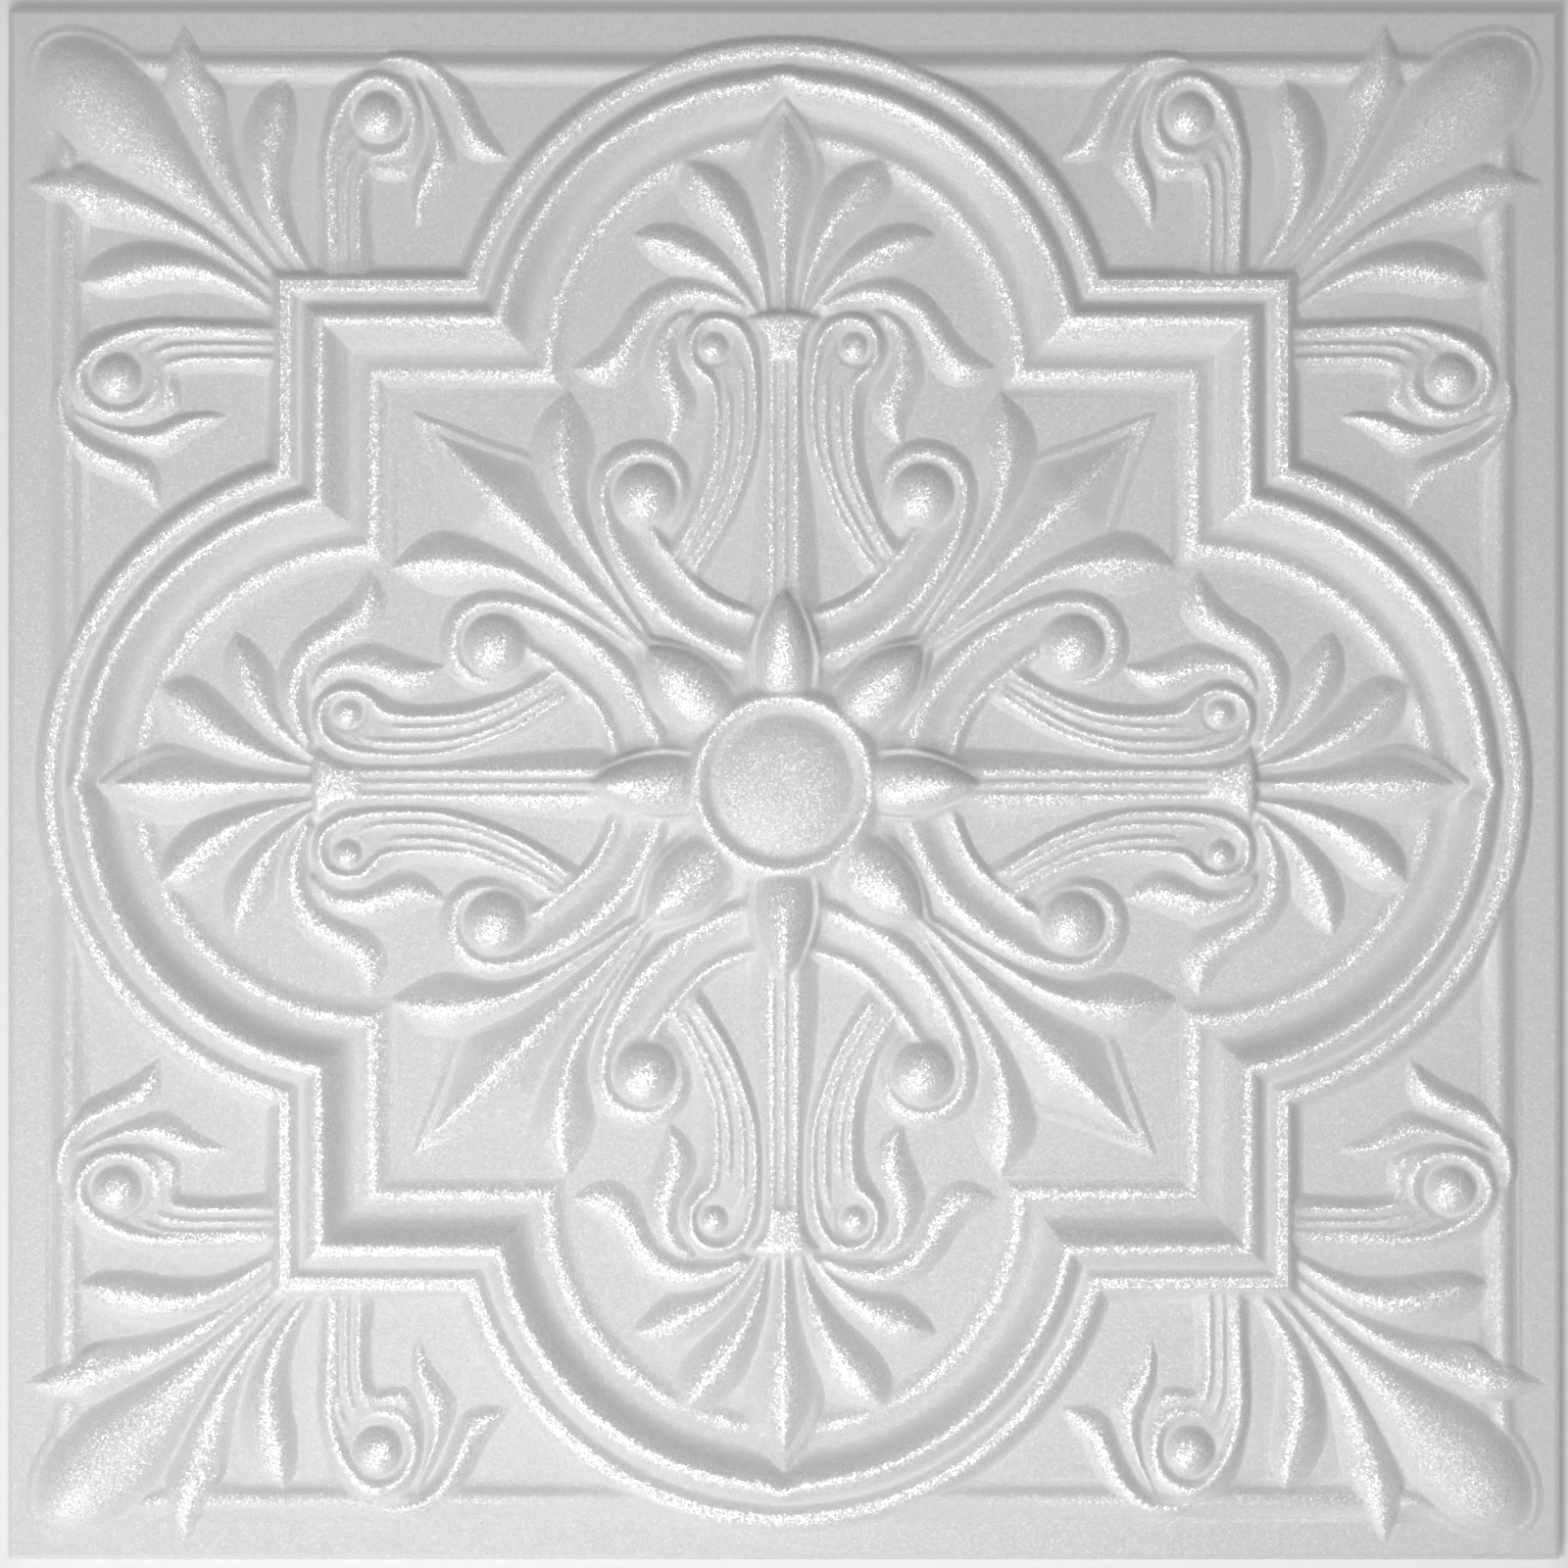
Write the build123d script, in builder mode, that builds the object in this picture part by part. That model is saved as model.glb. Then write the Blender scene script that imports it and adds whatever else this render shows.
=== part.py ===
"""Polystyrene ceiling tile: one sheet of foam with a relief pressed into its face.

Millimetres, +Z up out of the face, origin at the middle of the flat back.
The relief is the same in every eighth of the square: half of each ornament is drawn
once, mirrored, and turned round to the four sides and corners.
"""

import os
from math import cos, pi, sin

from build123d import *

# The sheet: its width, and how thick it is in each of its flat areas.
TILE_WIDTH = 500.0
FIELD_THICKNESS = 3.0
OUTER_FIELD_THICKNESS = 5.4
BORDER_THICKNESS = 6.6
EDGE_ROUNDING = 1.0

# Bead between the border and the outer field, its middle measured in from the tile's edge.
BEAD_INSET = 18.0
BEAD_WIDTH = 10.0
BEAD_HEIGHT = 1.6

# Quatrefoil moulding: a square with a round lobe in the middle of each side.
SQUARE_HALF_WIDTH = 166.6
LOBE_OFFSET = 132.3
LOBE_RADIUS = 110.2

# Its profile, going in from the foot: the width of each step and the thickness it reaches.
OUTER_CREST_STEP = 6.9
OUTER_CREST_THICKNESS = 9.7
VALLEY_STEP = 4.7
VALLEY_THICKNESS = 7.2
MAIN_CREST_STEP = 5.0
MAIN_CREST_THICKNESS = 11.6
COVE_STEP = 11.8
COVE_THICKNESS = 3.9
INNER_CREST_STEP = 5.4
INNER_CREST_THICKNESS = 4.9
FIELD_STEP = 7.7
RISING_BULGE = 0.5
FALLING_DIP = 0.5

# How deep every ornament roots in the sheet, and how far along a leaf is widest.
ROOT_DEPTH = 1.2
BELLY_SHARE = 0.6
LEAF_SHARES = (0.08, 0.3, 0.5, 0.7, 0.86, 0.97)
BAND_SHARES = (0.0, 0.25, 0.5, 0.75, 1.0)

# Heights of the ornaments above the flat area that they stand on.
LEAF_HEIGHT = 4.4
FLAME_HEIGHT = 2.8
LIP_HEIGHT = 1.2
CORNER_LEAF_HEIGHT = 3.6
CORNER_DROP_HEIGHT = 6.2
SIDE_LEAF_HEIGHT = 4.6
FAN_HEIGHT = 6.0
RIM_HEIGHT = 3.2
INNER_RIM_HEIGHT = 2.6
SCROLL_FLOOR_HEIGHT = 1.2
STEM_HEIGHT = 2.6
FLUTE_DEPTH = 0.7
FLUTES = 4

# Rims of the scrolls, and the balls that they curl round.
RIM_HALF_WIDTH = 3.2
VOLUTE_RIM_HALF_WIDTH = 2.4
BALL_RADIUS = 9.7
BALL_HEIGHT = 7.0
CORNER_BALL_RADIUS = 8.8
CORNER_BALL_HEIGHT = 5.8
EYE_RADIUS = 5.4
EYE_HEIGHT = 3.6

# Straight arms from the rosette to their caps.
ARM_HALF_WIDTH = 9.2
ARM_RIDGE_OFFSET = 3.4
ARM_INNER_HEIGHT = 4.8
ARM_OUTER_HEIGHT = 2.4
ARM_END = 138.0
CAP_START = 135.6
CAP_END = 151.6
CAP_START_HALF_WIDTH = 7.7
CAP_END_HALF_WIDTH = 11.7
CAP_CROWN = 2.6
CAP_HEIGHT = 3.8

# Rosette: a dome inside a ring, and eight petals, each on a lip of its own.
DOME_RADIUS = 22.0
DOME_HEIGHT = 8.3
GROOVE_RADIUS = 24.0
GROOVE_HEIGHT = 5.2
RING_CREST_RADIUS = 26.0
RING_HEIGHT = 7.0
RING_RADIUS = 28.4
RING_FOOT_HEIGHT = 5.0
ROSETTE_SKIRT = 7.0
PETAL_HEIGHT = 11.0
PETAL_LENGTH = 38.5
PETAL_HALF_WIDTH = 8.2
PETAL_ROOT_HALF_WIDTH = 3.6
PETAL_LIP_WIDTH = 3.6
PETAL_LIP_HEIGHT = 4.4

# Insets of the moulding's profile points from its foot.
outer_crest = OUTER_CREST_STEP
valley = outer_crest + VALLEY_STEP
main_crest = valley + MAIN_CREST_STEP
cove = main_crest + COVE_STEP
inner_crest = cove + INNER_CREST_STEP
field_edge = inner_crest + FIELD_STEP

bead_path_half = TILE_WIDTH / 2 - BEAD_INSET
clear_above = FIELD_THICKNESS + PETAL_HEIGHT + 5.0
corner_origin = Location((SQUARE_HALF_WIDTH, SQUARE_HALF_WIDTH, OUTER_FIELD_THICKNESS))
lobe_origin = Location((0, LOBE_OFFSET, FIELD_THICKNESS))
middle_origin = Location((0, 0, FIELD_THICKNESS))
across_diagonal = Plane(origin=(0, 0, 0), x_dir=(1, 1, 0), z_dir=(1, -1, 0))


def step_outline(outer_half_width, start, end, far_height, bulge):
    """Outline of one step of the moulding, from its centre line out to the step's foot."""
    foot = (outer_half_width - start[0], start[1])
    head = (outer_half_width - end[0], end[1])
    with BuildLine() as outline:
        SagittaArc(foot, head, bulge)
        Polyline(head, (0, head[1]), (0, far_height), (foot[0], far_height), foot)
    return outline.line


def moulding_step(start, end, far_height, bulge):
    """One step of the moulding, filled to its middle: the square, and one lobe on its own centre."""
    with BuildPart() as square:
        with BuildSketch(Plane.XZ) as profile:
            with BuildLine():
                add(step_outline(SQUARE_HALF_WIDTH, start, end, far_height, bulge))
            make_face()
            mirror(about=Plane.YZ)
        extrude(amount=SQUARE_HALF_WIDTH, both=True)
        with BuildSketch(Plane.YZ):
            add(profile.sketch_local)
        extrude(amount=SQUARE_HALF_WIDTH, both=True, mode=Mode.INTERSECT)
    with BuildPart() as lobe:
        with BuildSketch(Plane.XZ):
            with BuildLine():
                add(step_outline(LOBE_RADIUS, start, end, far_height, bulge))
            make_face()
        revolve(axis=Axis.Z)
    return square.part, lobe.part


def swelling(share, root, belly, belly_share):
    """Size at a share of a leaf's length: root at its base, belly at its widest, none at its tip."""
    if share < belly_share:
        wave = sin(pi / 2 * share / belly_share)
    else:
        wave = cos(pi / 2 * (share - belly_share) / (1 - belly_share))
    return root * (1 - share) + (belly - root * (1 - belly_share)) * wave


def plane_across(spine, share):
    """Upright plane across a spine at a share of its length, its first axis to the left of travel."""
    heading = spine % share
    return Plane(origin=spine @ share, x_dir=(-heading.Y, heading.X, 0), z_dir=heading)


def leaf(points, left, right, height, root=(2.0, 1.5), belly_share=BELLY_SHARE, rounded=False):
    """Leaf along a spine from base to tip, its top a ridge or, if rounded, one smooth swell."""
    with BuildLine() as spine:
        Spline(*points)
    with BuildPart() as blade:
        for share in LEAF_SHARES:
            left_edge = swelling(share, root[0], left, belly_share)
            right_edge = -swelling(share, root[0], right, belly_share)
            crest = swelling(share, root[1], height, belly_share)
            with BuildSketch(plane_across(spine.line, share)):
                with BuildLine():
                    if rounded:
                        ThreePointArc((left_edge, 0), ((left_edge + right_edge) / 2, crest), (right_edge, 0))
                    else:
                        Polyline((left_edge, 0), (0, crest), (right_edge, 0))
                    Polyline(
                        (right_edge, 0), (right_edge, -ROOT_DEPTH), (left_edge, -ROOT_DEPTH), (left_edge, 0)
                    )
                make_face()
        loft()
    return blade.part


def rim(points, half_width, height):
    """Round-topped bar along a spine."""
    with BuildLine() as spine:
        Spline(*points)
    with BuildPart() as bar:
        with BuildSketch(plane_across(spine.line, 0)):
            with BuildLine():
                ThreePointArc((-half_width, 0), (0, height), (half_width, 0))
                Polyline(
                    (half_width, 0), (half_width, -ROOT_DEPTH), (-half_width, -ROOT_DEPTH), (-half_width, 0)
                )
            make_face()
        sweep(path=spine.line)
    return bar.part


def band(points, start_half_width, end_half_width, height, flute_depth, flutes):
    """Flat-topped band along a spine, with flutes running down its top."""
    with BuildLine() as spine:
        Spline(*points)
    with BuildPart() as strip:
        for share in BAND_SHARES:
            half_width = start_half_width + (end_half_width - start_half_width) * share
            flute_width = half_width * 1.5 / flutes
            top = []
            for edge in range(2 * flutes + 1):
                across = (flutes - edge) * flute_width / 2
                top.append((across, height - flute_depth * (edge % 2)))
            with BuildSketch(plane_across(spine.line, share)):
                with BuildLine():
                    Polyline((half_width, 0), *top, (-half_width, 0))
                    Polyline(
                        (-half_width, 0), (-half_width, -ROOT_DEPTH), (half_width, -ROOT_DEPTH), (half_width, 0)
                    )
                make_face()
        loft(ruled=True)
    return strip.part


def ball(radius, height):
    """Cap of a sphere, standing at the height and as wide as the radius where it meets its floor."""
    sphere_radius = (radius**2 + height**2) / (2 * height)
    with BuildPart() as cap:
        with BuildSketch(Plane.XZ):
            with BuildLine():
                RadiusArc((0, height), (radius, 0), sphere_radius)
                Polyline((radius, 0), (radius, -ROOT_DEPTH), (0, -ROOT_DEPTH), (0, height))
            make_face()
        revolve(axis=Axis.Z)
    return cap.part


def petal():
    """Petal that points along +Y from the ring of the rosette, on its wider lip."""
    points = [(0, RING_CREST_RADIUS), (0, RING_CREST_RADIUS + PETAL_LENGTH)]
    lip = PETAL_HALF_WIDTH + PETAL_LIP_WIDTH
    body_root = (PETAL_ROOT_HALF_WIDTH, RING_FOOT_HEIGHT)
    lip_root = (PETAL_ROOT_HALF_WIDTH + PETAL_LIP_WIDTH, PETAL_LIP_HEIGHT / 2)
    with BuildPart() as whole:
        add(leaf(points, PETAL_HALF_WIDTH, PETAL_HALF_WIDTH, PETAL_HEIGHT, root=body_root, rounded=True))
        add(leaf(points, lip, lip, PETAL_LIP_HEIGHT, root=lip_root))
    return whole.part


# Sheet: the outer field, the thicker border round it, and a soft outer edge.
with BuildPart() as sheet:
    with BuildSketch():
        Rectangle(TILE_WIDTH, TILE_WIDTH)
    extrude(amount=OUTER_FIELD_THICKNESS)
    with BuildSketch(Plane.XY.offset(OUTER_FIELD_THICKNESS - ROOT_DEPTH)):
        Rectangle(TILE_WIDTH, TILE_WIDTH)
        Rectangle(2 * bead_path_half, 2 * bead_path_half, mode=Mode.SUBTRACT)
    extrude(amount=BORDER_THICKNESS - OUTER_FIELD_THICKNESS + ROOT_DEPTH)
    face_rim = sheet.faces().group_by(Axis.Z)[-1].face().outer_wire()
    fillet(face_rim.edges(), radius=EDGE_ROUNDING)

# Bead round the outer field, mitred at the corners.
with BuildPart() as bead:
    with BuildLine() as bead_path:
        Polyline(
            (bead_path_half, bead_path_half),
            (-bead_path_half, bead_path_half),
            (-bead_path_half, -bead_path_half),
            (bead_path_half, -bead_path_half),
            close=True,
        )
    with BuildSketch(Plane(origin=(bead_path_half, 0, BORDER_THICKNESS), x_dir=(1, 0, 0), z_dir=(0, -1, 0))):
        with BuildLine():
            bead_foot = (BEAD_WIDTH / 2, 0)
            bead_root = (BEAD_WIDTH / 2, OUTER_FIELD_THICKNESS - BORDER_THICKNESS - ROOT_DEPTH)
            ThreePointArc((-bead_foot[0], 0), (0, BEAD_HEIGHT), bead_foot)
            Polyline(bead_foot, bead_root, (-bead_root[0], bead_root[1]), (-bead_foot[0], 0))
        make_face()
    sweep(path=bead_path.line, transition=Transition.RIGHT)

# Corner spray, drawn from the corner of the square: two leaves, a scroll round a ball, two flames.
with BuildPart() as corner_half:
    add(leaf([(-3, 0), (9.7, 23.4), (21.5, 56.5), (26.4, 74)], 9.5, 6, CORNER_LEAF_HEIGHT))
    add(leaf([(-12, 0), (-5.3, 17.8), (-2.2, 36.5), (-6.6, 61.5)], 8, 9, CORNER_LEAF_HEIGHT))
    add(band([(-25.6, -6), (-25.6, 20), (-28, 38)], 8, 6, STEM_HEIGHT, FLUTE_DEPTH, FLUTES))
    scroll_rim = [
        (-19.1, -6), (-19.3, 22.1), (-21.8, 40), (-32.8, 56.4), (-38.3, 58.4),
        (-45.2, 54.5), (-48.2, 47), (-42.2, 35), (-35.5, 33), (-28, 37.5),
    ]
    add(rim(scroll_rim, RIM_HALF_WIDTH, RIM_HEIGHT))
    with Locations((-35.3, 45.5, 0)):
        add(ball(CORNER_BALL_RADIUS, CORNER_BALL_HEIGHT))
    add(leaf([(-50.3, 60), (-56, 44.7), (-50.3, 28.4), (-49.1, 13.9)], 3.5, 7, FLAME_HEIGHT))
    add(leaf([(-44.6, 65.5), (-57.2, 62.8), (-65.3, 45.9), (-77.1, 34.9)], 5.5, 4.8, FLAME_HEIGHT))

with BuildPart() as corner_spray:
    add(corner_half.part)
    mirror(about=across_diagonal)
    drop_spine = [(-6, -6), (70, 70)]
    add(leaf(drop_spine, 16.3, 16.3, CORNER_DROP_HEIGHT, root=(4, 1.5), belly_share=0.7, rounded=True))

# Palmette in a lobe, drawn from the lobe's centre: two leaves and two flames beside its middle leaf.
with BuildPart() as palmette_half:
    add(leaf([(5.9, 24.3), (11, 39.3), (19.8, 54.4), (33.2, 69.4)], 8.5, 9.5, LEAF_HEIGHT))
    add(leaf([(12.8, 24.9), (24.8, 36.2), (32.3, 40.6), (48.3, 44.6)], 6.2, 8.5, LEAF_HEIGHT))
    long_flame = [(18.5, 23.9), (32.3, 26.1), (45.5, 18.9), (54.9, 4.5), (68, 2)]
    add(leaf(long_flame, 5.8, 6.4, FLAME_HEIGHT, root=(4, 2)))
    add(leaf([(27.9, 18.9), (38.6, 9.5), (35.4, -4.3), (37.9, -22.2)], 7.7, 6.2, FLAME_HEIGHT))

with BuildPart() as palmette:
    add(palmette_half.part)
    mirror(about=Plane.YZ)
    middle_spine = [(0, 17), (0, 86)]
    add(leaf(middle_spine, 9.4, 9.4, LEAF_HEIGHT, root=(3, 1.5), belly_share=0.7, rounded=True))
    add(leaf(middle_spine, 12.8, 12.8, LIP_HEIGHT, root=(3, 0.5), belly_share=0.7))

# Ornament round the rosette, drawn from the middle of the tile: side leaf, scroll, stem and volute.
with BuildPart() as middle_half:
    add(leaf([(44, 46), (62.4, 76.8), (71.8, 102.9), (69.6, 125.5)], 11, 9.3, SIDE_LEAF_HEIGHT, root=(5, 2)))
    add(band([(15.5, 136), (16.3, 109.2), (23.5, 85.7), (32, 70)], 8, 7, STEM_HEIGHT, FLUTE_DEPTH, FLUTES))
    add(band([(47, 86), (40, 66.5), (26.5, 54), (12, 45)], 8, 8, SCROLL_FLOOR_HEIGHT, 0, 1))
    outer_rim = [
        (36.1, 87.2), (32.9, 93.8), (36, 102.5), (44.2, 106.1), (54, 102.5), (58.6, 93.8),
        (53, 73.1), (40.4, 56.1), (22.9, 44.2), (10, 39.5),
    ]
    add(rim(outer_rim, RIM_HALF_WIDTH, RIM_HEIGHT))
    add(rim([(41.7, 81.2), (32.3, 69.9), (20.4, 58), (8, 51)], RIM_HALF_WIDTH, INNER_RIM_HEIGHT))
    with Locations((44.2, 93.8, 0)):
        add(ball(BALL_RADIUS, BALL_HEIGHT))
    volute_rim = [(13, 136), (14.6, 147), (22.9, 150.8), (30.6, 147), (32, 139), (27, 133.4), (20, 133.6)]
    add(rim(volute_rim, VOLUTE_RIM_HALF_WIDTH, RIM_HEIGHT))
    with Locations((22.9, 141.8, 0)):
        add(ball(EYE_RADIUS, EYE_HEIGHT))

# Arm along +Y with its cap: three ridges that sink as the arm runs out.
with BuildPart() as arm:
    for distance, height in ((RING_CREST_RADIUS, ARM_INNER_HEIGHT), (ARM_END, ARM_OUTER_HEIGHT)):
        groove = height * 0.75
        with BuildSketch(Plane(origin=(0, distance, 0), x_dir=(-1, 0, 0), z_dir=(0, 1, 0))):
            with BuildLine():
                Polyline(
                    (0, -ROOT_DEPTH),
                    (ARM_HALF_WIDTH, -ROOT_DEPTH),
                    (ARM_HALF_WIDTH, 0),
                    (ARM_RIDGE_OFFSET * 1.4, groove),
                    (ARM_RIDGE_OFFSET, height),
                    (ARM_RIDGE_OFFSET * 0.6, groove),
                    (0, height),
                    close=True,
                )
            make_face()
            mirror(about=Plane.YZ)
    loft(ruled=True)
    with BuildSketch(Plane.XY.offset(-ROOT_DEPTH)):
        with BuildLine():
            shoulder = CAP_END - CAP_CROWN
            ThreePointArc((-CAP_END_HALF_WIDTH, shoulder), (0, CAP_END), (CAP_END_HALF_WIDTH, shoulder))
            Polyline(
                (CAP_END_HALF_WIDTH, shoulder),
                (CAP_START_HALF_WIDTH, CAP_START),
                (-CAP_START_HALF_WIDTH, CAP_START),
                (-CAP_END_HALF_WIDTH, shoulder),
            )
        make_face()
    extrude(amount=CAP_HEIGHT + ROOT_DEPTH)

with BuildPart() as rosette_disc:
    with BuildSketch(Plane.XZ):
        with BuildLine():
            dome_edge_height = (GROOVE_HEIGHT + RING_FOOT_HEIGHT) / 2 + 0.6
            ThreePointArc(
                (0, DOME_HEIGHT), (DOME_RADIUS * 0.65, DOME_HEIGHT - 0.9), (DOME_RADIUS, dome_edge_height)
            )
            Line((DOME_RADIUS, dome_edge_height), (GROOVE_RADIUS, GROOVE_HEIGHT))
            ThreePointArc(
                (GROOVE_RADIUS, GROOVE_HEIGHT), (RING_CREST_RADIUS, RING_HEIGHT), (RING_RADIUS, RING_FOOT_HEIGHT)
            )
            Polyline(
                (RING_RADIUS, RING_FOOT_HEIGHT),
                (RING_RADIUS + ROSETTE_SKIRT, -ROOT_DEPTH),
                (0, -ROOT_DEPTH),
                (0, DOME_HEIGHT),
            )
        make_face()
    revolve(axis=Axis.Z)

# One side's share of the middle: its pair of scrolls, its arm, and the fan on its diagonal.
with BuildPart() as middle:
    add(middle_half.part)
    mirror(about=Plane.YZ)
    add(arm.part)
    fan_spine = [(46, 46), (119, 119)]
    add(leaf(fan_spine, 16.5, 16.5, FAN_HEIGHT, root=(5, 2), belly_share=0.64))

with BuildPart() as ceiling_tile:
    add(sheet.part)
    add(bead.part)
    profile_points = (
        (0, OUTER_FIELD_THICKNESS),
        (outer_crest, OUTER_CREST_THICKNESS),
        (valley, VALLEY_THICKNESS),
        (main_crest, MAIN_CREST_THICKNESS),
        (cove, COVE_THICKNESS),
        (inner_crest, INNER_CREST_THICKNESS),
        (field_edge, FIELD_THICKNESS),
    )
    # A rising step is added up to its crest, and a falling one is cut away inside the crest.
    for number in range(len(profile_points) - 1):
        start, end = profile_points[number], profile_points[number + 1]
        rising = end[1] > start[1]
        mode = Mode.ADD if rising else Mode.SUBTRACT
        far_height = ROOT_DEPTH if rising else clear_above
        square_step, lobe_step = moulding_step(start, end, far_height, -RISING_BULGE if rising else FALLING_DIP)
        add(square_step, mode=mode)
        with PolarLocations(LOBE_OFFSET, 4):
            add(lobe_step, mode=mode)
    with PolarLocations(0, 4):
        with Locations(corner_origin):
            add(corner_spray.part)
    with PolarLocations(0, 4):
        with Locations(lobe_origin):
            add(palmette.part)
    with PolarLocations(0, 4):
        with Locations(middle_origin):
            add(middle.part)
    with Locations(middle_origin):
        add(rosette_disc.part)
        with PolarLocations(0, 8):
            add(petal())
    # What the press carries past the sheet's edges is trimmed off.
    with BuildSketch():
        Rectangle(TILE_WIDTH, TILE_WIDTH)
    extrude(amount=clear_above, mode=Mode.INTERSECT)

os.makedirs("parts", exist_ok=True)
ceiling_tile.part.label = "ceiling_tile"
export_step(ceiling_tile.part, "parts/ceiling_tile.step")
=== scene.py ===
"""Looks of the pressed foam ceiling tile: its relief, foam finish, light and camera."""

import math

import bpy
import numpy as np
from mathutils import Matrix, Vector


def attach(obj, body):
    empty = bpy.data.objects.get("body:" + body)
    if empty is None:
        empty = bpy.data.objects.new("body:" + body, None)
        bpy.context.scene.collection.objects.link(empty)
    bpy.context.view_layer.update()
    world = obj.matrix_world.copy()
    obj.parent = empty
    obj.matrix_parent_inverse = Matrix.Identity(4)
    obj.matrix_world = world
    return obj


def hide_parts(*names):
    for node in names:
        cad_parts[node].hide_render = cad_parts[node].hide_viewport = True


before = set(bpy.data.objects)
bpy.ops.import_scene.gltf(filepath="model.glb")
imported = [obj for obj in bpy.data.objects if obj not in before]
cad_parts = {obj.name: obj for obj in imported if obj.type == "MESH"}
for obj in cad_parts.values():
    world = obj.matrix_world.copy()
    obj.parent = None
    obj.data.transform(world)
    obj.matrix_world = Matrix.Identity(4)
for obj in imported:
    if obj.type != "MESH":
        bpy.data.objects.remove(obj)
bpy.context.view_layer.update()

# The relief is in millimetres, from the middle of the tile's flat back. The pattern repeats in eight
# mirrored parts, so all of it is drawn in the part where x runs from 0 to y.

HALF_WIDTH = 250.0
INNER_FIELD = 3.0  # level inside the quatrefoil
OUTER_FIELD = 5.4  # level between the quatrefoil and the frame bead
BORDER = 6.6  # level of the flat border
DIAGONAL = 2**-0.5  # x and y of a step of 1 along the diagonal

# The quatrefoil is a square and four round lobes.
SQUARE_HALF_WIDTH = 166.6
LOBE_OFFSET = 132.3
LOBE_RADIUS = 110.2
BEAD_CROSSING = 7.0  # nearer its outline than this, the higher of moulding and frame bead shows

# Level at each distance from the tile's middle line: frame bead, groove and flat border.
BORDER_PROFILE = [
    (0, OUTER_FIELD), (223.5, OUTER_FIELD), (225.6, 5.6), (227.6, 6.7), (229.2, 7.8), (231.0, 8.2),
    (232.6, 7.9), (234.4, 7.0), (236.2, 6.5), (238.0, BORDER), (248.3, BORDER), (249.4, 6.35), (250.2, 5.6),
    (262, 5.6),
]
# Level at each distance inside the quatrefoil's outline.
MOULDING_PROFILE = [
    (-10, OUTER_FIELD), (-0.6, OUTER_FIELD), (0.7, 5.8), (2.2, 7.4), (3.6, 8.9), (4.6, 9.6), (5.9, 9.35),
    (7.2, 9.6), (8.2, 9.0), (9.5, 7.9), (10.7, 7.3), (11.8, 7.6), (13.2, 8.9), (14.6, 10.5), (16.0, 11.4),
    (17.2, 11.6), (18.6, 11.1), (20.5, 9.3), (22.8, 6.6), (25.3, 4.8), (28.2, 3.95), (30.4, 4.05),
    (32.0, 4.6), (33.6, 4.95), (35.2, 4.7), (37.2, 3.8), (39.3, 3.2), (41.5, INNER_FIELD), (300, INNER_FIELD),
]

# The thin ridges of the combs.
RIDGE_HEIGHT, RIDGE_HALF_WIDTH = 2.75, 1.7

# Where a lobe crosses a middle line of the tile, its moulding comes to a small point.
CUSP_SHIFT = 2.6
CUSP_HALF_WIDTH = 4.5
CUSP_STARTS, CUSP_ENDS, CUSP_FADE = 9.0, 34.0, 6.0  # distances inside the outline
LOBE_CROSSING = 150.0  # y beyond which only lobes cross the middle line

# The mesh, with Gaussian radii for the softening that the foam skin gives every crease.
GRID_STEP = 0.5
GRID_MARGIN = 8.0
BAND_REACH = 12.0  # more than half the width of any band
OCTANT_TRIANGLES = 24000
SKIN_SOFTNESS = 0.45
SHADING_SOFTNESS = 0.5
SNAP_REACH = 0.3  # how far thinning may move a rim point off its side of the octant
LEVEL_COSINE, LEVEL_AREA = 0.9998, 1.0  # a face that is at least so level and large is shaded flat
NEARLY = 1e-3
WELD_CELLS = 1000  # to the millimetre: the copies' points in one cell become one point
MM_PER_METRE = 1000

# Polish, from 0 on the matte ground to 1 on a crest. It sets the clear coat's weight and how strongly
# the painted glitter, flakes painted light and dark into the base colour, shows. A crest stands above
# the mean level within a reach: polish starts at one height above it, is full one rise higher, and fades
# out softly. A sharp ridge, which stands above the mean level close by, keeps all of it, and a broad
# crest keeps its share.
CREST_REACH, CREST_STARTS, CREST_RISE, CREST_FADE = 3.5, 0.05, 0.45, 0.8
SHARP_REACH, BROAD_SHARE, SHARP_RISE = 1.2, 0.6, 0.25
# the dish in the middle keeps some polish, and with it some painted glitter
DISH_POLISH_AND_GLITTER, DISH_RADIUS = 0.22, 22.0
POLISH_AND_GLITTER_ENDS = 243.0  # the border's outer edge stays matte


def read_off(pairs, values):
    """Value of a smooth curve through the pairs that never swings past them."""
    p = np.asarray(pairs, float)
    x, y = p[:, 0], p[:, 1]
    gap = np.diff(x)
    rise = np.diff(y) / gap
    slope = np.zeros(len(x))
    same = rise[:-1] * rise[1:] > 0
    a, b = 2 * gap[1:] + gap[:-1], gap[1:] + 2 * gap[:-1]
    with np.errstate(divide="ignore", invalid="ignore"):
        slope[1:-1] = np.where(same, (a + b) / (a / rise[:-1] + b / rise[1:]), 0)
    v = np.clip(values, x[0], x[-1])
    i = np.clip(np.searchsorted(x, v, side="right") - 1, 0, len(gap) - 1)
    t = (v - x[i]) / gap[i]
    return (
        y[i] * (1 + 2 * t) * (1 - t) ** 2
        + slope[i] * gap[i] * t * (1 - t) ** 2
        + y[i + 1] * t * t * (3 - 2 * t)
        - slope[i + 1] * gap[i] * t * t * (1 - t)
    )


def smooth_curve(points, per_span=9):
    """Points of a smooth line through the given ones."""
    p = np.asarray(points, float)
    p = np.vstack([2 * p[0] - p[1], p, 2 * p[-1] - p[-2]])
    t = np.linspace(0, 1, per_span, endpoint=False)[:, None]
    spans = [
        0.5 * (2 * b + (c - a) * t + (2 * a - 5 * b + 4 * c - d) * t**2 + (3 * b - a - 3 * c + d) * t**3)
        for a, b, c, d in zip(p[:-3], p[1:-2], p[2:-1], p[3:])
    ]
    return np.vstack(spans + [p[-2][None]])


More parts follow.
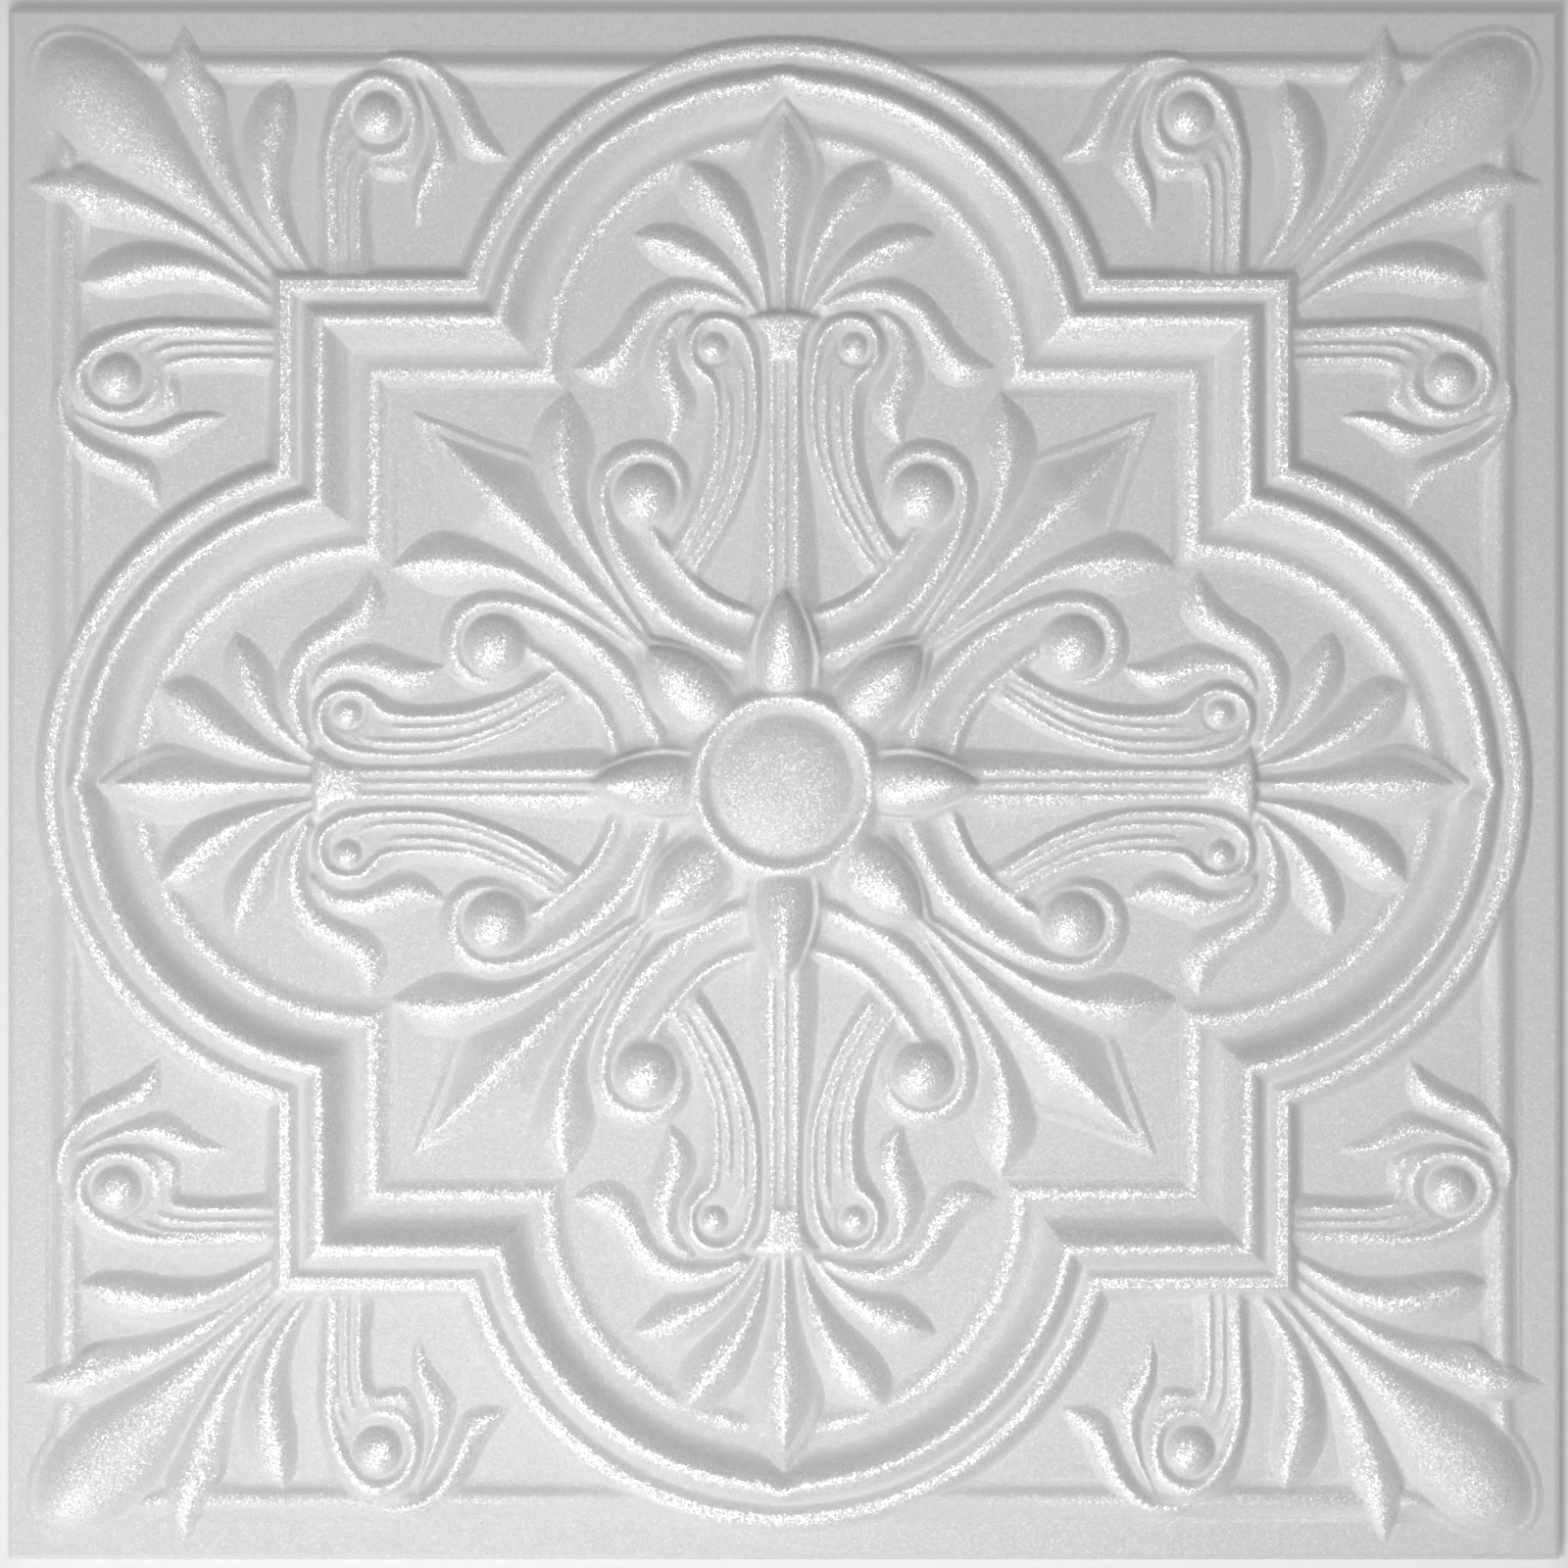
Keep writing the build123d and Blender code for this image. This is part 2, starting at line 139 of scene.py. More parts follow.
def nearest(curve, x, y):
    """For each point: how far along the curve it lies, 0 to 1, and its distance, positive on the left."""
    seg = np.diff(curve, axis=0)
    length = np.hypot(seg[:, 0], seg[:, 1])
    start = np.concatenate([[0], np.cumsum(length)])
    best = np.full(x.shape, 1e9)
    share = np.zeros(x.shape)
    side = np.ones(x.shape)
    for (ax, ay), (dx, dy), run, before in zip(curve[:-1], seg, length, start[:-1]):
        t = np.clip(((x - ax) * dx + (y - ay) * dy) / (run * run), 0, 1)
        ox, oy = x - ax - t * dx, y - ay - t * dy
        d = np.hypot(ox, oy)
        closer = d < best - 1e-9
        best[closer] = d[closer]
        share[closer] = (before + t[closer] * run) / start[-1]
        side[closer] = np.where(dx * oy[closer] - dy * ox[closer] < 0, -1, 1)
    return share, side * best


def inside(outline, x, y):
    """Which points lie inside a closed outline."""
    found = np.zeros(x.shape, bool)
    for (ax, ay), (bx, by) in zip(outline, np.roll(outline, -1, axis=0)):
        if ay != by:
            crossed = (ay > y) != (by > y)
            found ^= crossed & (x < (bx - ax) * (y - ay) / (by - ay) + ax)
    return found


# A section gives the share of the height at u, which runs from 0 on the middle line to 1 at the edge.


def roof(crest, swell):
    """Section of a leaf: two slopes and a crest that is rounded over the given share of the half width.
    Swell above 0 rounds the slopes out, below 0 it hollows them."""
    def section(u):
        line = 1 - (np.sqrt(u * u + crest * crest) - crest) / (math.sqrt(1 + crest * crest) - crest)
        return np.where(u < 1, (1 - swell) * line + swell * (1 - u * u), 0)
    return section


def rounded(power):
    """Section of a round rim."""
    def section(u):
        return np.maximum(1 - u * u, 0) ** power
    return section


def drawn(pairs):
    """Section read off pairs of share of the half width and share of the height."""
    def section(u):
        return np.where(u < pairs[-1][0], read_off(pairs, u), 0)
    return section


def pillow(power):
    """Full section of a petal, steep at its edges and round on top."""
    def section(u):
        return np.maximum(1 - np.abs(u) ** 2.1, 0) ** power
    return section


def ledge(edge):
    """Section of a thin flat skirt with a soft edge."""
    def section(u):
        return np.clip((1 - u) / edge, 0, 1)
    return section


class Relief:
    """Height of the face on a grid that reaches a little past the edges of one quarter."""

    def __init__(self):
        steps = int(round((HALF_WIDTH + 2 * GRID_MARGIN) / GRID_STEP))
        self.axis = -GRID_MARGIN + GRID_STEP * np.arange(steps + 1)
        across, up = np.meshgrid(np.abs(self.axis), np.abs(self.axis))
        self.x, self.y = np.minimum(across, up), np.maximum(across, up)
        border = read_off(BORDER_PROFILE, self.y)
        inset = np.maximum(SQUARE_HALF_WIDTH - self.y, LOBE_RADIUS - np.hypot(self.x, self.y - LOBE_OFFSET))
        inset = np.maximum(inset, LOBE_RADIUS - np.hypot(self.x - LOBE_OFFSET, self.y))
        cusp = CUSP_SHIFT * np.exp(-((self.x / CUSP_HALF_WIDTH) ** 2))
        cusp = cusp * np.clip((inset - CUSP_STARTS) / CUSP_FADE, 0, 1)
        cusp = cusp * np.clip((CUSP_ENDS - inset) / CUSP_FADE, 0, 1)
        moulding = read_off(MOULDING_PROFILE, inset + np.where(self.y > LOBE_CROSSING, cusp, 0))
        self.z = np.where(inset > BEAD_CROSSING, moulding, np.maximum(moulding, border))

    def window(self, points, reach):
        """Which grid points lie in the points' box, widened by the reach."""
        p = np.asarray(points, float)
        low, high = p.min(0) - reach, p.max(0) + reach
        return (self.x > low[0]) & (self.x < high[0]) & (self.y > low[1]) & (self.y < high[1])

    def lift(self, where, z):
        """Raises the face to z where it is lower."""
        self.z[where] = np.maximum(self.z[where], z)

    def leaf(self, spine, left, right, height, section, floor, covers=HALF_WIDTH, tip=None):
        """A leaf between two edges. Height is in pairs of share of length and millimetres.
        A straight leaf that lies on a mirror line gives one edge alone. It hides what is there where y is
        above covers, and its outline may end at a tip beyond its spine, which makes a round end."""
        line = smooth_curve(spine)
        if not left or not right:
            along = (line[-1] - line[0]) / np.linalg.norm(line[-1] - line[0])
            off = np.asarray(left or right, float) - line[0]
            other = (line[0] + 2 * np.outer(off @ along, along) - off).tolist()
            left, right = left or other, right or other
        edges = [smooth_curve([spine[0], *e, tip or spine[-1]]) for e in (left, right)]
        outline = np.vstack([edges[0], edges[1][::-1]])
        where = self.window(outline, 1)
        x, y = self.x[where], self.y[where]
        share, side = nearest(line, x, y)
        to_left, to_right = (np.abs(nearest(e, x, y)[1]) for e in edges)
        across = np.where(side > 0, to_left, to_right)
        u = np.abs(side) / np.maximum(np.abs(side) + across, 1e-6)
        z = floor_at(floor, x, y) + read_off(height, share) * section(u)
        within = inside(outline, x, y)
        self.z[where] = np.where(within & (y > covers), z, self.z[where])
        self.lift(where, np.where(within, z, 0))

    def strip(self, spine, half_width, height, section, floor):
        """A band of given half width along a line. Widths and heights are pairs over its length."""
        line = smooth_curve(spine)
        where = self.window(line, BAND_REACH)
        x, y = self.x[where], self.y[where]
        share, side = nearest(line, x, y)
        f = section(np.abs(side) / read_off(half_width, share))
        self.lift(where, np.where(f > 0, floor_at(floor, x, y) + read_off(height, share) * f, 0))

    def ridge(self, spine, floor):
        """A thin ridge of a comb, lower and narrower at both ends."""
        h, w = RIDGE_HEIGHT, RIDGE_HALF_WIDTH
        height = [(0, h * 0.8), (0.12, h), (0.85, h), (1, h * 0.7)]
        half_width = [(0, w * 0.8), (0.15, w), (0.85, w), (1, w * 0.6)]
        self.strip(spine, half_width, height, rounded(0.7), floor)

    def slab(self, outline, height, slope, floor):
        """A raised area whose sides slope over the given width. Its height is a number or follows x and y."""
        line = smooth_curve([*outline, outline[0]])
        where = self.window(line, 1)
        x, y = self.x[where], self.y[where]
        depth = np.abs(nearest(line, x, y)[1])
        t = np.clip(depth / slope, 0, 1)
        top = height(x, y) if callable(height) else height
        z = floor_at(floor, x, y) + top * np.sin(t * math.pi / 2) ** 1.2
        self.lift(where, np.where(inside(line, x, y), z, 0))

    def channel(self, outer, inner, pairs, level, floor):
        """A band between two lines, with its section read off from the outer line, 0, to the inner one, 1,
        and its height following the level along the inner line."""
        lines = [smooth_curve(c) for c in (outer, inner)]
        outline = np.vstack([lines[0], lines[1][::-1]])
        where = self.window(outline, 1)
        x, y = self.x[where], self.y[where]
        (_, a), (share, b) = (nearest(c, x, y) for c in lines)
        a, b = np.abs(a), np.abs(b)
        z = floor_at(floor, x, y) + read_off(level, share) * read_off(pairs, a / np.maximum(a + b, 1e-6))
        within = inside(outline, x, y)
        self.z[where] = np.where(within, z, self.z[where])

    def hollow(self, centre, pairs, floor):
        """A round dish pressed into what is there, read off pairs of radius and height."""
        where = self.window([centre], pairs[-1][0] + 1)
        x, y = self.x[where], self.y[where]
        r = np.hypot(x - centre[0], y - centre[1])
        z = floor_at(floor, x, y) + read_off(pairs, r)
        self.z[where] = np.where(r < pairs[-1][0], np.minimum(self.z[where], z), self.z[where])

    def cap(self, centre, radius, height, floor):
        """A ball that stands out of the floor by its height and meets it at its radius."""
        where = self.window([centre], radius + 1)
        x, y = self.x[where], self.y[where]
        r = np.hypot(x - centre[0], y - centre[1])
        sphere = (radius**2 + height**2) / (2 * height)
        z = np.sqrt(np.maximum(sphere**2 - r**2, 0)) - (sphere - height)
        self.lift(where, np.where(r < radius, floor_at(floor, x, y) + z, 0))

    def disc(self, centre, pairs, floor, covers=0):
        """A round form read off pairs of radius and height. It hides what is nearer than covers."""
        where = self.window([centre], pairs[-1][0] + 1)
        x, y = self.x[where], self.y[where]
        r = np.hypot(x - centre[0], y - centre[1])
        z = floor_at(floor, x, y) + read_off(pairs, r)
        self.z[where] = np.where(r < covers, z, self.z[where])
        self.lift(where, np.where(r < pairs[-1][0], z, 0))


def floor_at(floor, x, y):
    """Level of a floor that is a number or follows x and y."""
    return floor(x, y) if callable(floor) else floor


def spray_floor(x, y):
    """Level under the corner spray: the outer field, then up over the frame bead to the border."""
    return read_off([(0, OUTER_FIELD), (216, OUTER_FIELD), (233, 6.5), (262, BORDER)], y)


def bead_floor(x, y):
    """Level under the corner leaves that lie over the frame bead."""
    level = [(0, OUTER_FIELD), (203, OUTER_FIELD), (217, 6.0), (227, 7.5), (234, 7.4), (241, 6.7),
             (262, BORDER)]
    return read_off(level, y)


def drop_floor(x, y):
    """Level under the drop, rising along the diagonal to the border."""
    level = [(0, OUTER_FIELD), (262, OUTER_FIELD), (290, 6.1), (312, 7.0), (326, 7.0), (345, BORDER)]
    return read_off(level, (x + y) * DIAGONAL)


def tip_floor(x, y):
    """Level under the palmette's middle leaf, whose tip climbs the cove."""
    level = [(0, INNER_FIELD), (194, INNER_FIELD), (202, 3.6), (208, 4.3), (214, 4.6), (217, 5.0),
             (219.5, 5.9), (222, 7.0)]
    return read_off(level, y)


def on_diagonal(*distances):
    """Points on the diagonal at the given distances from the middle."""
    return [(r * DIAGONAL, r * DIAGONAL) for r in distances]


def beside_diagonal(pairs):
    """Points on the upper side of the diagonal from pairs of distance along it and beside it."""
    return [((r - s) * DIAGONAL, (r + s) * DIAGONAL) for r, s in pairs]


def add_corner(r):
    """Corner spray: leaf on the bead, drop, side leaf, and the scroll with its ball and two curled leaves."""
    f = spray_floor
    drop_section = drawn([(0, 1.0), (0.15, 0.975), (0.45, 0.79), (0.75, 0.42), (0.92, 0.12), (1.0, 0)])
    drop = [(240, 3.2), (252, 4.4), (263, 6.4), (273, 9.0), (284, 12.0), (294, 15.0), (304.5, 17.0),
            (316.5, 16.4), (327, 13.0), (333.0, 8.8), (336.2, 4.6)]
    skirt = [(238, 4.4), (252, 6.0), (263, 8.2), (273, 10.8), (284, 13.9), (295, 17.2), (306, 19.2),
             (318, 18.4), (328.6, 14.8), (335.2, 10.0), (338.6, 5.0)]
    # leaf that lies on the frame bead
    r.leaf([(158, 163), (165, 172.5), (172.5, 182.5), (178.6, 192), (183.4, 201.5), (187.2, 211.5),
            (190.4, 221), (192.4, 232), (193.4, 244.6)],
           [(157.5, 167), (162.5, 174), (172.0, 190.5), (176.4, 201), (178.7, 211.5), (181.0, 222),
            (184.2, 228), (187.4, 234), (190.8, 240.2)],
           [(164, 168.5), (173, 177.8), (181.2, 187.4), (190.2, 201.4), (195.6, 211), (198.6, 221),
            (199.0, 229.8), (197.0, 236.8)],
           [(0, 1.4), (0.2, 1.9), (0.45, 2.9), (0.7, 2.7), (0.88, 1.9), (1, 0.6)],
           roof(crest=0.22, swell=0.4), bead_floor, covers=205)
    # drop on its skirt
    r.leaf(on_diagonal(228, 300, 339.6), beside_diagonal(skirt), [],
           [(0, 0.3), (0.4, 0.7), (0.75, 0.8), (1, 0.6)], ledge(0.2), drop_floor)
    r.leaf(on_diagonal(228, 280, 317), beside_diagonal(drop), [],
           [(0, 1.2), (0.3, 2.2), (0.6, 3.9), (0.85, 4.9), (1, 5.0)], drop_section, drop_floor, covers=182,
           tip=on_diagonal(337.4)[0])
    # leaf beside it
    r.leaf([(152, 163), (158.6, 173.3), (164.6, 184.9), (166.6, 194.7), (166.0, 204.4), (164.0, 212),
            (162.2, 219.5), (161.3, 227.4)],
           [(152.6, 168.5), (156.4, 175.8), (158.8, 184.9), (159.4, 193.5), (158.4, 202.4), (157.0, 211.4),
            (157.8, 220.4)],
           [(160.6, 169.4), (167.9, 178.8), (172.4, 188.8), (174.6, 198.6), (174.9, 208), (172.8, 216.4),
            (167.8, 223.6)],
           [(0, 1.6), (0.3, 3.0), (0.6, 4.6), (0.85, 3.8), (1, 0.8)], roof(crest=0.18, swell=0.4), f)
    # scroll: its bed, the dish round its ball, its rim and the ridges of its comb
    r.slab([(149.9, 160), (149.9, 183.3), (149.6, 200), (149.1, 211), (146.5, 220.6), (142.5, 227),
            (137.8, 231.0), (131.6, 232.8), (125.7, 231.6), (121.0, 228.8), (117.3, 224.4), (115.5, 216.5),
            (115.3, 208.2), (116.8, 202.4), (119.4, 197.4), (122.6, 194.6), (127.0, 194.6), (131.2, 195.4),
            (132.8, 192), (133.4, 186), (133.2, 178), (133.2, 160)], height=1.7, slope=3.0, floor=f)
    ball = (130.7, 215.2)
    r.hollow(ball, [(0, 1.0), (9.2, 1.0), (11.0, 2.4)], f)
    r.strip([(145.9, 160), (146.3, 177), (147.0, 195.8), (146.5, 204), (144.3, 213), (141.2, 219.4),
             (137.2, 224.2), (132.6, 226.9), (127.6, 226.4), (123.4, 223.9), (120.4, 219.6), (119.3, 214),
             (120.4, 208.9), (123.2, 204.9), (127.4, 202.7), (131.6, 202.6), (135.8, 204.2)],
            [(0, 2.4), (0.4, 3.2), (0.75, 3.4), (0.92, 3.0), (1, 1.8)],
            [(0, 2.8), (0.5, 3.5), (0.8, 3.3), (1, 2.2)], rounded(0.8), f)
    for line in ([(143.9, 160), (144.5, 180), (144.5, 197), (143.2, 202.6), (141.4, 207), (138.6, 210)],
                 [(140.9, 160), (141.3, 180), (141.0, 193.6), (140.2, 198.4), (138.4, 202.6), (136.6, 205.4)],
                 [(136.8, 160), (137.1, 179), (137.1, 189), (136.4, 194.2), (135.0, 198.6), (133.0, 201.6)]):
        r.ridge(line, f)
    r.cap(ball, radius=8.8, height=5.8, floor=f)
    # curled leaves outside the scroll
    r.leaf([(119.5, 229), (115.9, 221.9), (114.1, 216.5), (112.2, 211.3), (111.8, 205.5), (112.8, 200.7),
            (114.8, 196.3), (117, 191.6), (118.4, 186), (118.4, 179.2)],
           [(117.4, 222), (115.8, 216.5), (115.2, 208.2), (116.2, 203.6), (118.0, 199), (119.4, 193.6),
            (119.7, 186)],
           [(117.2, 226.4), (113.7, 221), (110.2, 214.4), (107.4, 207.6), (105.5, 200.9), (107.6, 195.6),
            (110.9, 191.4), (114, 186.9), (116.4, 182)],
           [(0, 2.4), (0.3, 2.7), (0.6, 2.8), (0.85, 2.0), (1, 0.8)], roof(crest=0.16, swell=0.3), f)
    r.leaf([(131, 233.0), (123, 233.4), (116.2, 231.6), (110.6, 227), (106.2, 220.6), (102.6, 212.4),
            (97.6, 206), (88.8, 201.5)],
           [(124.4, 231.6), (117.2, 228.4), (112.6, 223.4), (109.6, 217.2), (107.2, 210.4), (104.4, 204.2),
            (100.0, 201.4), (94.6, 200.7)],
           [(128, 235.4), (122.4, 236.2), (115.2, 235.2), (109.1, 232.0), (103.8, 226.4), (99.6, 219.6),
            (96.1, 212.4), (92.3, 206.8)],
           [(0, 2.2), (0.3, 2.9), (0.6, 3.2), (0.85, 2.3), (1, 0.8)], roof(crest=0.2, swell=0.4), f)


def add_palmette(r):
    """Palmette at the end of a cross arm: middle leaf on its skirt, two side leaves, two curled leaves."""
    f = INNER_FIELD
    body = [(1.6, 153), (2.8, 162.2), (4.7, 174.7), (7.0, 183.5), (8.9, 191.5), (9.4, 198.5), (7.6, 206),
            (4.2, 211.6)]
    skirt = [(3.2, 160), (6.6, 175), (9.6, 184), (11.8, 192), (12.6, 199.2), (10.8, 207), (7.0, 213.2),
             (2.6, 218.6)]
    # middle leaf on its skirt
    r.leaf([(0, 150), (0, 200), (0, 221)], [], skirt, [(0, 0.5), (0.5, 1.1), (1, 1.1)], ledge(0.14),
           tip_floor, covers=0)
    r.leaf([(0, 150), (0, 175), (0, 200), (0, 216)], [], body,
           [(0, 1.4), (0.2, 2.2), (0.45, 3.6), (0.72, 4.4), (0.88, 4.2), (1, 3.0)],
           roof(crest=0.14, swell=0.4), f + 1.2)
    # side leaves
    r.leaf([(5.0, 150), (5.9, 156.6), (7.2, 162.2), (11, 171.6), (15.3, 180.4), (19.8, 186.7), (26, 194.2),
            (31.0, 199.5), (33.4, 202.2)],
           [(4.9, 158), (5.3, 169.7), (7.2, 177.9), (9.7, 185.4), (12.8, 191.6), (17.9, 197.0), (23.8, 200.9),
            (29.4, 202.7)],
           [(8.5, 156.6), (12.8, 164.1), (18.5, 171), (24.1, 177.3), (29.2, 182.3), (33.7, 188.7),
            (35.2, 195.2)],
           [(0, 2.2), (0.3, 4.0), (0.6, 5.4), (0.85, 4.6), (1, 1.8)], roof(crest=0.16, swell=0.45), f)
    r.leaf([(8.5, 151), (12.8, 157.2), (18.5, 163.5), (24.8, 168.5), (32.3, 172.9), (40.4, 175.4),
            (46.0, 176.6), (48.6, 177.2)],
           [(7.0, 154), (10.3, 160.2), (16.0, 168.5), (21, 173.3), (26, 176.8), (31, 179.6), (37.3, 181.0),
            (43.6, 180.2)],
           [(12, 153), (17.5, 157.8), (24.6, 160.9), (33.5, 163.2), (38.8, 165.9), (43.6, 169.8),
            (47.2, 174.0)],
           [(0, 2.2), (0.3, 3.2), (0.6, 4.2), (0.85, 3.5), (1, 1.3)], roof(crest=0.18, swell=0.4), f)
    # curled leaves
    r.leaf([(12, 153), (18.5, 156.4), (24.8, 158.4), (32.3, 158.4), (39.8, 155.6), (45.5, 150.6),
            (49.8, 143.4), (54.9, 137.2), (61.1, 133.8), (68.4, 134.0)],
           [(11.6, 156.5), (18.5, 161.5), (24.8, 164.0), (31, 164.6), (37.3, 162.9), (44.8, 159.1),
            (50.8, 153.0), (55.2, 146.0), (59.6, 140.8), (64.5, 137.7)],
           [(14.6, 151.6), (21.6, 153.2), (29, 153.2), (35.5, 150.8), (40.0, 147.2), (43.4, 141.5),
            (47.3, 134.5), (51.8, 129.8), (57.1, 128.1), (63.4, 129.8)],
           [(0, 2.6), (0.3, 3.0), (0.6, 3.0), (0.85, 2.4), (1, 0.8)], roof(crest=0.2, swell=0.5), f)
    r.leaf([(29, 153), (33.6, 150.6), (36.6, 147.4), (38.4, 141.8), (37.9, 134.3), (35.8, 128), (34.6, 121.7),
            (35.6, 116.1), (38.1, 109)],
           [(34, 153), (39.5, 149.9), (43.2, 144.7), (45.3, 137.8), (45.3, 131.8), (43.3, 126.1),
            (41.0, 120.4), (39.0, 114.6)],
           [(29.6, 149.4), (32.4, 145.2), (33.4, 140.3), (32.5, 134.3), (30.0, 129.0), (28.3, 123.4),
            (29.2, 117.9), (33.3, 112.6)],
           [(0, 2.0), (0.3, 2.6), (0.6, 2.9), (0.85, 2.1), (1, 0.8)], roof(crest=0.18, swell=0.45), f)


def add_fan(r):
    """Pointed leaf on the diagonal with its thin edge, and the leaf beside it."""
    f = INNER_FIELD
    edge = [(66, 4.4), (85, 7.6), (100, 10.6), (112, 13.8), (122, 16.6), (131, 18.2), (136, 16.8),
            (143, 12.8), (152, 8.4), (161, 4.2)]
    body = [(66, 3.0), (85, 5.6), (100, 8.2), (112, 11.2), (122, 13.6), (129.4, 14.8), (133.4, 13.6),
            (139, 10.4), (146, 7.0), (153, 3.4)]
    # pointed leaf on its thin edge
    r.leaf(on_diagonal(50, 100, 169.5), beside_diagonal(edge), [], [(0, 0.9), (1, 0.9)], ledge(0.12), f)
    r.leaf(on_diagonal(50, 100, 160.5), beside_diagonal(body), [],
           [(0, 2.0), (0.3, 3.2), (0.52, 4.6), (0.7, 5.5), (0.85, 3.6), (1, 0.8)],
           roof(crest=0.1, swell=-0.1), f + 0.7)
    # leaf beside it
    r.leaf([(42, 45), (46.7, 52.3), (49.8, 56.8), (56.1, 66.8), (62.4, 76.8), (68, 87.2), (70.5, 96.6),
            (71.8, 102.9), (72.2, 112.3), (71.2, 120.4), (69.6, 126.6)],
           [(43.6, 50), (48.8, 60), (55, 71.8), (60.6, 82.5), (63.2, 92.6), (61.9, 100.4), (61.0, 108.2),
            (62.6, 115.4), (66.0, 121.9)],
           [(45, 46.5), (53, 54.4), (62, 65.4), (69.5, 75.4), (74.9, 83.8), (78.7, 92.9), (81.2, 102.2),
            (81.6, 110.4), (79.5, 116.7), (75.1, 122.3)],
           [(0, 2.4), (0.3, 3.4), (0.6, 4.4), (0.75, 4.7), (0.88, 3.7), (1, 1.3)],
           roof(crest=0.1, swell=0.25), f)


def add_scrolls(r):
    """Comb beside the cross arm with its small scroll, and the large scroll with its ball."""
    f = INNER_FIELD
    # comb: its bed, the dish round its ball, its rim and its ridges
    r.slab([(6.4, 130), (6.8, 138), (8.6, 145), (12.0, 150), (17, 152.4), (23.3, 152.6), (28.2, 150.8),
            (32.4, 147.4), (34.8, 142.4), (34.4, 137.4), (32.0, 133), (29.0, 129.2), (26.6, 125.4),
            (25.6, 119), (25.6, 111), (26.6, 103), (29.0, 95), (32.2, 87.6), (36.6, 79.6), (41, 73), (32, 62),
            (26.2, 67.4), (21.4, 75.2), (16.8, 83.6), (13.0, 92), (9.6, 101.5), (7.2, 110.5), (6.4, 120)],
           height=1.7, slope=3.0, floor=f)
    eye = (22.9, 140.9)
    r.hollow(eye, [(0, 1.0), (5.6, 1.0), (6.9, 2.3)], f)
    r.strip([(28.5, 70.5), (22.9, 78.4), (17.5, 87.6), (12.9, 99.6), (10.0, 109.6), (9.2, 118), (9.2, 127),
             (9.9, 134.9), (11.2, 141.2), (13.6, 146.0), (17.2, 149.1), (21.9, 150.0), (26.0, 148.8),
             (28.8, 145.8), (30.0, 141.4), (29.4, 136.7), (27.0, 133.1), (23.6, 130.4), (22.0, 124.6),
             (21.5, 114.4), (22.6, 102.4), (25.4, 94.0), (30.0, 83.4), (36.4, 72.6)],
            [(0, 1.8), (0.3, 2.0), (0.45, 2.4), (0.62, 2.4), (0.72, 1.9), (1, 1.8)],
            [(0, 2.7), (0.35, 2.8), (0.5, 3.3), (0.62, 3.2), (0.72, 2.8), (1, 2.7)], rounded(0.75), f)
    r.ridge([(31.6, 70.6), (27.2, 76.6), (20.6, 88), (16.6, 97), (14.2, 106), (13.2, 115), (13.1, 125),
             (13.6, 132), (14.9, 136.6), (17.0, 139.8)], f)
    r.ridge([(34, 72), (29.4, 79.6), (24.0, 90), (20.4, 99), (18.4, 109), (17.8, 118), (18.2, 126),
             (19.6, 131.0)], f)
    r.cap(eye, radius=5.4, height=3.7, floor=f)
    # large scroll
    ball = (44.8, 93.4)
    outer = [(36.0, 86.6), (34.0, 91.0), (33.8, 96.4), (35.8, 101.4), (39.8, 104.8), (45.0, 106.0),
             (50.4, 104.9), (54.8, 101.8), (57.4, 97.2), (58.0, 92.4), (57.3, 86.9), (55.2, 79.0),
             (51.8, 71.4), (47.1, 64.2), (41.7, 57.8), (34.6, 51.4), (25.6, 45.8), (15.2, 41.2), (5, 38)]
    inner = [(37.6, 88.4), (36.4, 92.4), (37.0, 97.4), (40.4, 101.4), (45.0, 102.4), (49.8, 101.2),
             (53.0, 97.6), (53.8, 93.2), (52.4, 88.6), (49.0, 85.4), (44.8, 83.9), (42.4, 81.6), (40.4, 77.9),
             (37.5, 74.3), (34.2, 70.3), (31.0, 66.6), (27.7, 63.0), (22.9, 59.4), (16.7, 56.4), (10, 54.4),
             (4, 53)]
    r.disc(ball, [(0, 1.7), (11, 1.7), (12.4, 1.5), (14.4, 0.6), (16, 0)], f)
    r.strip(inner[11:], [(0, 2.4), (1, 2.6)], [(0, 2.6), (1, 2.7)], rounded(0.8), f)
    r.strip(outer, [(0, 2.4), (0.08, 3.6), (0.2, 5.2), (0.35, 4.8), (1, 4.4)],
            [(0, 1.9), (0.1, 2.4), (0.25, 2.8), (0.42, 3.5), (0.55, 3.8), (1, 3.8)], rounded(0.95), f)
    r.channel(outer, inner,
              [(0, 3.8), (0.05, 3.76), (0.3, 2.5), (0.5, 1.5), (0.67, 1.15), (0.82, 1.6), (0.94, 2.55),
               (1, 2.7)],
              [(0, 0.5), (0.085, 0.63), (0.2, 0.74), (0.34, 0.9), (0.48, 0.98), (0.55, 1), (1, 1)], f)
    r.disc(ball, [(0, 1.5), (11.2, 1.5), (11.3, 0)], f)
    r.cap(ball, radius=10.9, height=7.3, floor=f)


